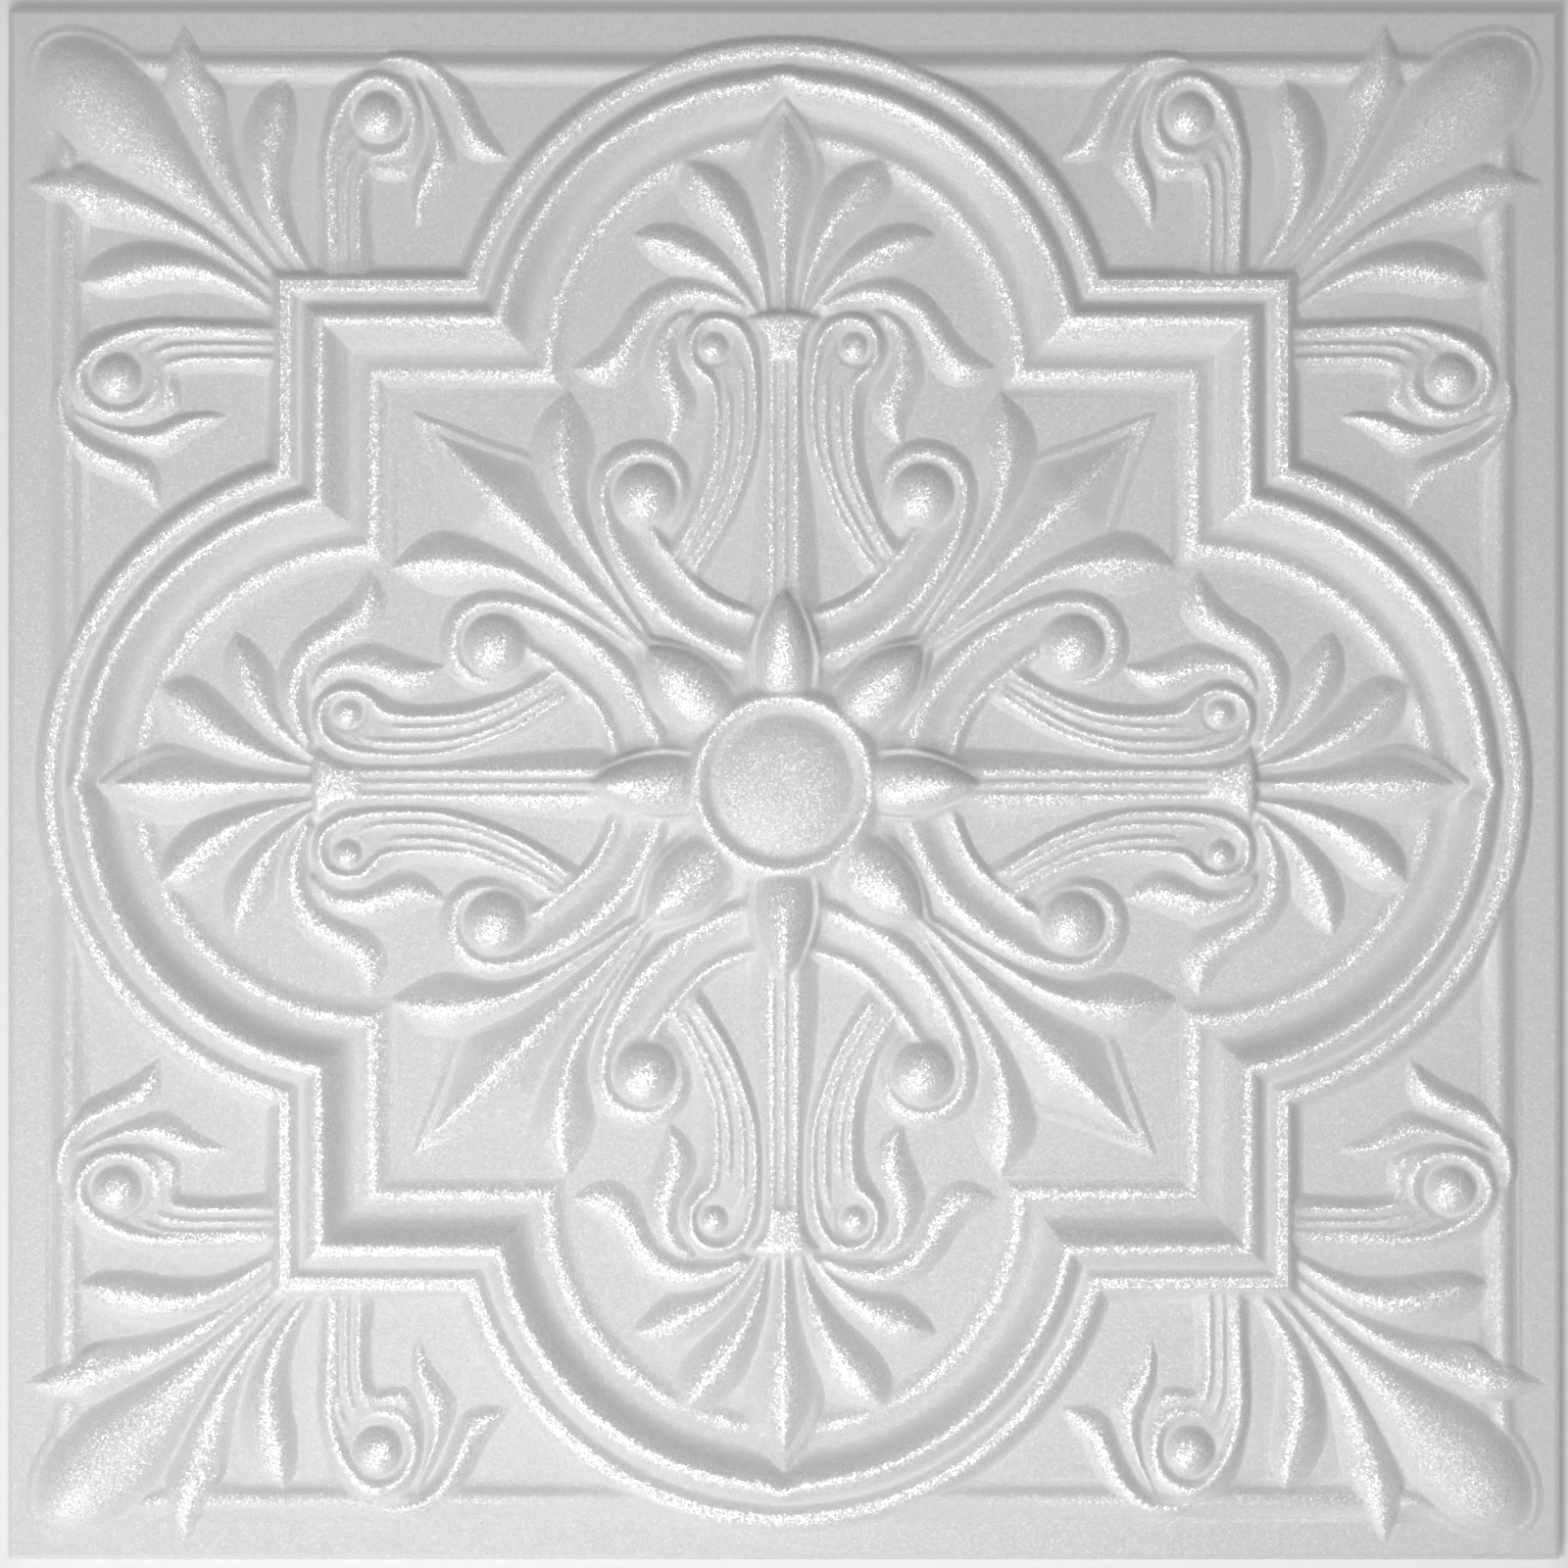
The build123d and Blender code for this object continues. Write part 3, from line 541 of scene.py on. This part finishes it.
def add_arm(r):
    """Arm of the cross: three ribs between flanks that widen to the middle, and the block at its end."""
    f = INNER_FIELD
    root, end, ribs = 18, 137, 4.9  # where the arm runs, and half the width of its ribs
    half = [(0, 11.6), (0.3, 11.4), (0.42, 10.9), (0.62, 9.2), (0.75, 7.6), (0.88, 6.6), (1, 6.3)]
    where = r.window([(0, 15), (0, 138)], 13)
    x, y = r.x[where], r.y[where]
    share = (y - root) / (end - root)
    foot = read_off(half, share)
    top = read_off([(0, 5.0), (0.35, 4.4), (0.6, 3.2), (0.8, 2.6), (1, 2.5)], share)
    comb = read_off([(0, 1.0), (0.7, 0.88), (1.9, 0.1), (3.1, 0.82), (3.9, 1.0), (ribs, 0.8)], x)
    flank = np.clip((foot - x) / (foot - ribs), 0, 1)
    z = np.where(x < ribs, top - 1.0 + comb, (top - 0.2) * flank)
    r.lift(where, np.where((share > 0) & (share < 1) & (x < foot), f + z, 0))

    def block(x, y):
        return read_off([(130, 3.0), (137, 3.1), (150, 4.1), (160, 4.1)], y) - 0.012 * x * x

    r.slab([(-6.4, 135.6), (0, 135.6), (6.4, 135.6), (7.0, 141), (8.8, 146), (12.2, 150.6), (6.5, 152.8),
            (0, 153.4), (-6.5, 152.8), (-12.2, 150.6), (-8.8, 146), (-7.0, 141)], height=block, slope=2.4,
           floor=f)


def add_rosette(r):
    """Rosette: petals on the axes and the diagonals, each on its lip, and the dished disc in the middle."""
    f = INNER_FIELD
    axis_body = [(6.4, 23), (8.2, 29), (9.2, 36), (9.1, 42), (8.0, 48), (6.0, 53.5), (3.2, 59)]
    axis_lip = [(9.0, 23), (11.4, 29), (12.6, 36), (12.2, 43), (10.4, 50), (7.2, 57), (3.6, 63)]
    cross_body = [(24, 6.0), (30, 8.6), (37, 10.2), (44, 10.6), (50, 9.4), (55, 6.8), (59, 3.8)]
    cross_lip = [(24, 8.4), (30, 11.0), (37, 12.6), (45, 13.0), (51, 11.6), (57, 8.4), (63, 4.0)]
    lip = drawn([(0, 0.6), (0.7, 0.66), (0.8, 0.8), (0.88, 1.0), (0.94, 0.8), (1.0, 0)])
    # petals on the axes
    r.leaf([(0, 18), (0, 40), (0, 67)], [], axis_lip, [(0, 4.2), (0.5, 4.9), (0.8, 5.0), (1, 3.6)], lip, f)
    r.leaf([(0, 18), (0, 40), (0, 62.6)], [], axis_body,
           [(0, 1.6), (0.26, 3.0), (0.31, 4.0), (0.42, 5.5), (0.58, 6.9), (0.74, 7.5), (0.89, 5.8), (1, 2.3)],
           pillow(0.8), f + 3.6)
    # petals on the diagonals
    r.leaf(on_diagonal(18, 40, 67), beside_diagonal(cross_lip), [],
           [(0, 3.2), (0.5, 3.6), (0.8, 3.8), (1, 2.8)], lip, f)
    r.leaf(on_diagonal(18, 40, 62), beside_diagonal(cross_body), [],
           [(0, 2.4), (0.26, 3.6), (0.31, 4.4), (0.42, 5.5), (0.58, 6.6), (0.74, 6.9), (0.89, 5.2), (1, 2.1)],
           pillow(0.78), f + 2.4)
    # disc with its dish and rim
    r.disc((0, 0),
           [(0, 8.4), (6, 8.35), (12, 7.8), (17, 6.9), (20.2, 5.9), (21.8, 5.3), (22.8, 5.1), (24.2, 5.3),
            (26.0, 6.3), (27.2, 7.0), (28.2, 7.1), (29.2, 6.6), (30.6, 5.0), (32, 3.7), (35, 2.9), (40, 1.6),
            (43, 0)], f, covers=29.6)


def soften(z, radius):
    """Gaussian softening of the grid. The radius is one sigma in millimetres."""
    sigma = radius / GRID_STEP
    reach = max(1, int(round(3 * sigma)))
    weights = np.exp(-0.5 * (np.arange(-reach, reach + 1) / sigma) ** 2)
    weights /= weights.sum()
    n = len(z)
    wide = np.pad(z, ((reach, reach), (0, 0)), mode="edge")
    z = sum(w * wide[i:i + n] for i, w in enumerate(weights))
    wide = np.pad(z, ((0, 0), (reach, reach)), mode="edge")
    return sum(w * wide[:, i:i + n] for i, w in enumerate(weights))


def make_relief():
    """The whole face. The order counts, because some forms hide what is there already."""
    r = Relief()
    for add in (add_corner, add_palmette, add_fan, add_scrolls, add_arm, add_rosette):
        add(r)
    return r


def polish_and_glitter_of(r, z):
    """How polished every spot is, which also sets how much painted glitter it shows. The hot mould polishes
    the crests most.
    """
    crest = soften(np.clip((z - soften(z, CREST_REACH) - CREST_STARTS) / CREST_RISE, 0, 1), CREST_FADE)
    crest = crest * np.clip(BROAD_SHARE + (z - soften(z, SHARP_REACH)) / SHARP_RISE, 0, 1)
    return np.maximum(crest, DISH_POLISH_AND_GLITTER * (np.hypot(r.x, r.y) < DISH_RADIUS)) * (r.y < POLISH_AND_GLITTER_ENDS)


def octant():
    """One eighth of the face: its vertices and triangles, thinned out, and the grid's axis, slopes and
    polish with its share of painted glitter, which keep their full detail."""
    r = make_relief()
    z = soften(r.z, SKIN_SOFTNESS)
    step = GRID_STEP
    slope_y, slope_x = np.gradient(soften(z, SHADING_SOFTNESS), step)
    first = int(round(GRID_MARGIN / step))
    count = int(round(HALF_WIDTH / step)) + 1
    ix, iy = np.meshgrid(np.arange(count), np.arange(count))
    kept = iy >= ix
    number = np.full(kept.shape, -1)
    number[kept] = np.arange(kept.sum())
    shown = slice(first, first + count)
    co = np.column_stack([ix[kept] * step, iy[kept] * step, z[shown, shown][kept]])
    a, b, c, d = number[:-1, :-1], number[:-1, 1:], number[1:, 1:], number[1:, :-1]
    whole = (a >= 0) & (b >= 0)
    half = (a >= 0) & (b < 0)
    tris = np.vstack([
        np.column_stack([a[whole], b[whole], c[whole]]),
        np.column_stack([a[whole], c[whole], d[whole]]),
        np.column_stack([a[half], c[half], d[half]]),
    ])
    mesh = bpy.data.meshes.new("octant")
    mesh.from_pydata(co.tolist(), [], tris.tolist())
    obj = bpy.data.objects.new("octant", mesh)
    bpy.context.scene.collection.objects.link(obj)
    thin = obj.modifiers.new("thin", "DECIMATE")
    thin.ratio = OCTANT_TRIANGLES / len(tris)
    done = bpy.data.meshes.new_from_object(obj.evaluated_get(bpy.context.evaluated_depsgraph_get()))
    done.calc_loop_triangles()
    co = np.zeros(len(done.vertices) * 3)
    done.vertices.foreach_get("co", co)
    co = co.reshape(-1, 3)
    tris = np.zeros(len(done.loop_triangles) * 3, int)
    done.loop_triangles.foreach_get("vertices", tris)
    tris = tris.reshape(-1, 3)
    bpy.data.objects.remove(obj)
    bpy.data.meshes.remove(mesh)
    bpy.data.meshes.remove(done)
    # thinning moves some rim points a little: back to the octant's three sides, so that the copies meet
    edges = np.sort(np.vstack([tris[:, [0, 1]], tris[:, [1, 2]], tris[:, [2, 0]]]), axis=1)
    pairs, times = np.unique(edges, axis=0, return_counts=True)
    rim = np.unique(pairs[times == 1])
    off = np.abs([co[rim, 0], (co[rim, 1] - co[rim, 0]) * DIAGONAL, HALF_WIDTH - co[rim, 1]])
    on_axis, on_cross, on_side = off < np.minimum(off.min(axis=0), SNAP_REACH) + NEARLY
    co[rim[on_axis], 0] = 0
    middle = co[rim[on_cross], :2].mean(axis=1)
    co[rim[on_cross], 0] = middle
    co[rim[on_cross], 1] = middle
    co[rim[on_side], 1] = HALF_WIDTH
    corner = rim[on_cross & on_side]
    co[corner, 0] = HALF_WIDTH
    return co, tris, r.axis, slope_x, slope_y, polish_and_glitter_of(r, z)


def sample(axis, grid, x, y):
    """Values of the grid at any points."""
    step = axis[1] - axis[0]
    fx, fy = (x - axis[0]) / step, (y - axis[0]) / step
    i, j = np.floor(fx).astype(int), np.floor(fy).astype(int)
    fx, fy = fx - i, fy - j
    return (
        grid[j, i] * (1 - fx) * (1 - fy) + grid[j, i + 1] * fx * (1 - fy)
        + grid[j + 1, i] * (1 - fx) * fy + grid[j + 1, i + 1] * fx * fy
    )


def make_tile():
    """The whole tile: eight mirrored copies of the octant, side walls and a flat back."""
    co, tris, axis, slope_x, slope_y, polish_and_glitter_grid = octant()
    parts, faces = [], []
    for swap in (False, True):
        for sx in (1, -1):
            for sy in (1, -1):
                p = co[:, [1, 0, 2]] * (sx, sy, 1) if swap else co * (sx, sy, 1)
                turned = (sx * sy < 0) != swap
                faces.append((tris[:, ::-1] if turned else tris) + sum(len(q) for q in parts))
                parts.append(p)
    co, faces = np.vstack(parts), np.vstack(faces)
    cell = np.round(co * WELD_CELLS).astype(int)
    _, keep, number = np.unique(cell, axis=0, return_index=True, return_inverse=True)
    co, faces = co[keep], number.reshape(-1)[faces]
    faces = faces[(faces[:, 0] != faces[:, 1]) & (faces[:, 1] != faces[:, 2]) & (faces[:, 2] != faces[:, 0])]
    _, group, times = np.unique(np.sort(faces, axis=1), axis=0, return_inverse=True, return_counts=True)
    faces = faces[times[group.reshape(-1)] == 1]  # slivers on a mirror line fold flat onto their copies
    top_count = len(faces)
    sx, sy = np.where(co[:, 0] < 0, -1, 1), np.where(co[:, 1] < 0, -1, 1)
    ax, ay = np.abs(co[:, 0]), np.abs(co[:, 1])
    lean_x, lean_y = -sample(axis, slope_x, ax, ay) * sx, -sample(axis, slope_y, ax, ay) * sy
    normal = np.column_stack([lean_x, lean_y, np.ones(len(co))])
    normal /= np.linalg.norm(normal, axis=1)[:, None]
    polish_and_glitter = sample(axis, polish_and_glitter_grid, ax, ay)
    outer = np.flatnonzero(np.maximum(ax, ay) > HALF_WIDTH - NEARLY)
    outer = outer[np.argsort(np.arctan2(co[outer, 1], co[outer, 0]))]
    outer_next = np.roll(outer, -1)
    below = len(co) + np.arange(len(outer))
    below_next = np.roll(below, -1)
    foot = co[outer] * (1, 1, 0)
    centre = len(co) + len(outer)
    co = np.vstack([co, foot, [[0, 0, 0]]])
    sides = np.vstack([
        np.column_stack([outer, below, below_next]),
        np.column_stack([outer, below_next, outer_next]),
    ])
    back = np.column_stack([np.full(len(outer), centre), below_next, below])
    faces = np.vstack([faces, sides, back])
    mesh = bpy.data.meshes.new("tile_face")
    mesh.from_pydata((co / MM_PER_METRE).tolist(), [], faces.tolist())
    mesh.validate()
    mesh.update()
    mesh.polygons.foreach_set("use_smooth", np.ones(len(mesh.polygons), bool))
    # shading: the relief's own slopes on the face, level on its wide level faces, flat on walls and back
    across = np.cross(co[faces[:, 1]] - co[faces[:, 0]], co[faces[:, 2]] - co[faces[:, 0]])
    size = np.linalg.norm(across, axis=1)
    flat = across / np.maximum(size, 1e-12)[:, None]
    corner_normal = np.repeat(flat[:, None, :], 3, axis=1)
    corner_normal[:top_count] = normal[faces[:top_count]]
    level = (flat[:top_count, 2] > LEVEL_COSINE) & (size[:top_count] / 2 > LEVEL_AREA)
    corner_normal[:top_count][level] = (0, 0, 1)
    mesh.normals_split_custom_set(corner_normal.reshape(-1, 3).tolist())
    # polish, which also sets how much painted glitter shows, as a value on each point
    polish_and_glitter = np.concatenate([polish_and_glitter, np.zeros(len(co) - len(polish_and_glitter))])
    mesh.attributes.new("polish_and_glitter", "FLOAT", "POINT").data.foreach_set("value", polish_and_glitter.astype(np.float32))
    obj = bpy.data.objects.new("tile", mesh)
    bpy.context.scene.collection.objects.link(obj)
    return obj


def add_node(tree, kind, operation=None, **values):
    """A new shader node with the values of its inputs."""
    node = tree.nodes.new(kind)
    if operation:
        node.operation = operation
    for name, value in values.items():
        node.inputs[name.replace("_", " ")].default_value = value
    return node


def foam_finish():
    """Matte foam with a fine grain over a slightly uneven skin, and pearl flakes where it is polished, with
    painted glitter: the flakes painted light and dark in the base colour, most on the crests.
    """
    grain_scale, skin_scale, flake_scale = 1500, 90, 1800  # cells to the metre
    # the base colour runs from painted dark to painted light glitter on the crests; the matte ground keeps a
    # narrow band of it as random tone
    grain_and_glitter_dark, grain_and_glitter_light = (0.625, 0.635, 0.63, 1), (0.93, 0.937, 0.927, 1)
    flake_lean = 0.55

    mat = bpy.data.materials.new("pearl_foam")
    mat.use_nodes = True
    tree = mat.node_tree
    bsdf = tree.nodes["Principled BSDF"]
    bsdf.inputs["Specular IOR Level"].default_value = 0.5
    bsdf.inputs["Coat Roughness"].default_value = 0.38
    bsdf.inputs["Coat IOR"].default_value = 3.2
    place = tree.nodes.new("ShaderNodeTexCoord")
    # polish sets the coat's weight and how strongly the painted glitter shows
    polish_and_glitter = tree.nodes.new("ShaderNodeAttribute")
    polish_and_glitter.attribute_name = "polish_and_glitter"

    def link(source, output, target, socket):
        tree.links.new(source.outputs[output], target.inputs[socket])

    # skin: uneven over a centimetre, grainy within a millimetre, where the noise keeps to 0.3 to 0.7
    grain = add_node(tree, "ShaderNodeTexNoise", Scale=grain_scale, Detail=3, Roughness=0.6)
    skin = add_node(tree, "ShaderNodeTexNoise", Scale=skin_scale, Detail=3, Roughness=0.5)
    link(place, "Object", grain, "Vector")
    link(place, "Object", skin, "Vector")
    rough = add_node(tree, "ShaderNodeMapRange", From_Min=0.3, From_Max=0.7, To_Min=0.6, To_Max=0.48)
    link(grain, "Fac", rough, "Value")
    link(rough, "Result", bsdf, "Roughness")
    coarse = add_node(tree, "ShaderNodeBump", Strength=0.2, Distance=0.0004)
    fine = add_node(tree, "ShaderNodeBump", Strength=0.4, Distance=0.00012)
    link(skin, "Fac", coarse, "Height")
    link(grain, "Fac", fine, "Height")
    link(coarse, "Normal", fine, "Normal")
    link(fine, "Normal", bsdf, "Normal")

    # flakes: a random vector for each, from -0.5 to 0.5
    flakes = add_node(tree, "ShaderNodeTexVoronoi", Scale=flake_scale)
    link(place, "Object", flakes, "Vector")
    centred = add_node(tree, "ShaderNodeVectorMath", "SUBTRACT")
    centred.inputs[1].default_value = (0.5, 0.5, 0.5)
    link(flakes, "Color", centred, 0)

    # painted glitter: the flakes are painted light and dark into the base colour, strongly on the crests, and
    # on the matte ground only as a faint random tone
    grain_and_glitter_spread = add_node(tree, "ShaderNodeMapRange", To_Min=0.26, To_Max=1.0)
    link(polish_and_glitter, "Fac", grain_and_glitter_spread, "Value")
    apart = tree.nodes.new("ShaderNodeSeparateXYZ")
    link(centred, "Vector", apart, "Vector")
    grain_and_glitter = add_node(tree, "ShaderNodeMath", "MULTIPLY_ADD")
    grain_and_glitter.inputs[2].default_value = 0.5
    link(apart, "Z", grain_and_glitter, 0)
    link(grain_and_glitter_spread, "Result", grain_and_glitter, 1)
    grain_and_glitter_tint = tree.nodes.new("ShaderNodeMix")
    grain_and_glitter_tint.data_type = "RGBA"
    grain_and_glitter_tint.inputs["A"].default_value = grain_and_glitter_dark
    grain_and_glitter_tint.inputs["B"].default_value = grain_and_glitter_light
    link(grain_and_glitter, "Value", grain_and_glitter_tint, "Factor")
    link(grain_and_glitter_tint, "Result", bsdf, "Base Color")

    # a clear skin over them, strongest on the crests, in which each flake leans its own way
    weight = add_node(tree, "ShaderNodeMapRange", To_Min=0.14, To_Max=1.0)
    link(polish_and_glitter, "Fac", weight, "Value")
    link(weight, "Result", bsdf, "Coat Weight")
    lean = add_node(tree, "ShaderNodeVectorMath", "SCALE", Scale=flake_lean)
    link(centred, "Vector", lean, 0)
    geometry = tree.nodes.new("ShaderNodeNewGeometry")
    leaning = add_node(tree, "ShaderNodeVectorMath", "ADD")
    link(geometry, "Normal", leaning, 0)
    link(lean, "Vector", leaning, 1)
    unit = add_node(tree, "ShaderNodeVectorMath", "NORMALIZE")
    link(leaning, "Vector", unit, 0)
    link(unit, "Vector", bsdf, "Coat Normal")
    return mat


tile = make_tile()
tile.data.materials.append(foam_finish())
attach(tile, "root")
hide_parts("ceiling_tile")


def seen_only(tree, unseen, seen):
    """Strength of a surface that the eye, a mirror or glass sees brighter than it lights other things."""
    path = tree.nodes.new("ShaderNodeLightPath")
    rays = [path.outputs[name] for name in ("Is Camera Ray", "Is Glossy Ray", "Is Transmission Ray")]
    while len(rays) > 1:
        either = add_node(tree, "ShaderNodeMath", "MAXIMUM")
        tree.links.new(rays.pop(), either.inputs[0])
        tree.links.new(rays.pop(), either.inputs[1])
        rays.append(either.outputs[0])
    strength = add_node(tree, "ShaderNodeMapRange", To_Min=unseen, To_Max=seen)
    tree.links.new(rays[0], strength.inputs["Value"])
    return strength.outputs["Result"]


# a pale floor just below the tile, in metres
FLOOR_REACH, FLOOR_LEVEL = 4.0, -0.0005
floor_mesh = bpy.data.meshes.new("floor")
corners = [(FLOOR_REACH * x, FLOOR_REACH * y, FLOOR_LEVEL) for x, y in ((-1, -1), (1, -1), (1, 1), (-1, 1))]
floor_mesh.from_pydata(corners, [], [(0, 1, 2, 3)])
floor = bpy.data.objects.new("floor", floor_mesh)
bpy.context.scene.collection.objects.link(floor)
floor_mat = bpy.data.materials.new("floor")
floor_mat.use_nodes = True
floor_bsdf = floor_mat.node_tree.nodes["Principled BSDF"]
floor_bsdf.inputs["Base Color"].default_value = (0.8, 0.8, 0.8, 1)
floor_bsdf.inputs["Roughness"].default_value = 0.9
floor_bsdf.inputs["Emission Color"].default_value = (1, 1, 1, 1)
floor_mat.node_tree.links.new(seen_only(floor_mat.node_tree, unseen=0.0, seen=0.16),
                              floor_bsdf.inputs["Emission Strength"])
floor_mesh.materials.append(floor_mat)


def area_light(name, place, size, power):
    """A square lamp that faces the middle of the tile. Size in metres, power in watts."""
    data = bpy.data.lights.new(name, "AREA")
    data.shape = "SQUARE"
    data.size = size
    data.energy = power
    obj = bpy.data.objects.new(name, data)
    obj.location = place
    obj.rotation_euler = (-Vector(place)).to_track_quat("-Z", "Y").to_euler()
    bpy.context.scene.collection.objects.link(obj)


area_light("key", (-0.95, -1.75, 1.05), size=1.6, power=18.5)
area_light("front", (-0.13, -0.26, 0.82), size=0.22, power=2.8)
area_light("panel", (0, 0, 1.62), size=1.0, power=3.6)

world = bpy.data.worlds.new("world")
world.use_nodes = True
sky = world.node_tree.nodes["Background"]
sky.inputs["Color"].default_value = (1, 1, 1, 1)
world.node_tree.links.new(seen_only(world.node_tree, unseen=0.11, seen=0.5), sky.inputs["Strength"])
bpy.context.scene.world = world

# straight above, as in the photo, with the frame as wide as the photo's at the height of the relief
CAMERA_HEIGHT, SENSOR_WIDTH = 1.5, 36
FRAME_WIDTH, FRAME_LEVEL = 0.5035, 0.012
camera_data = bpy.data.cameras.new("camera")
camera_data.type = "PERSP"
camera_data.sensor_width = SENSOR_WIDTH
camera_data.lens = SENSOR_WIDTH * (CAMERA_HEIGHT - FRAME_LEVEL) / FRAME_WIDTH
camera = bpy.data.objects.new("camera", camera_data)
camera.location = (0, 0, CAMERA_HEIGHT)
bpy.context.scene.collection.objects.link(camera)
bpy.context.scene.camera = camera

bpy.context.scene.view_settings.view_transform = "Standard"
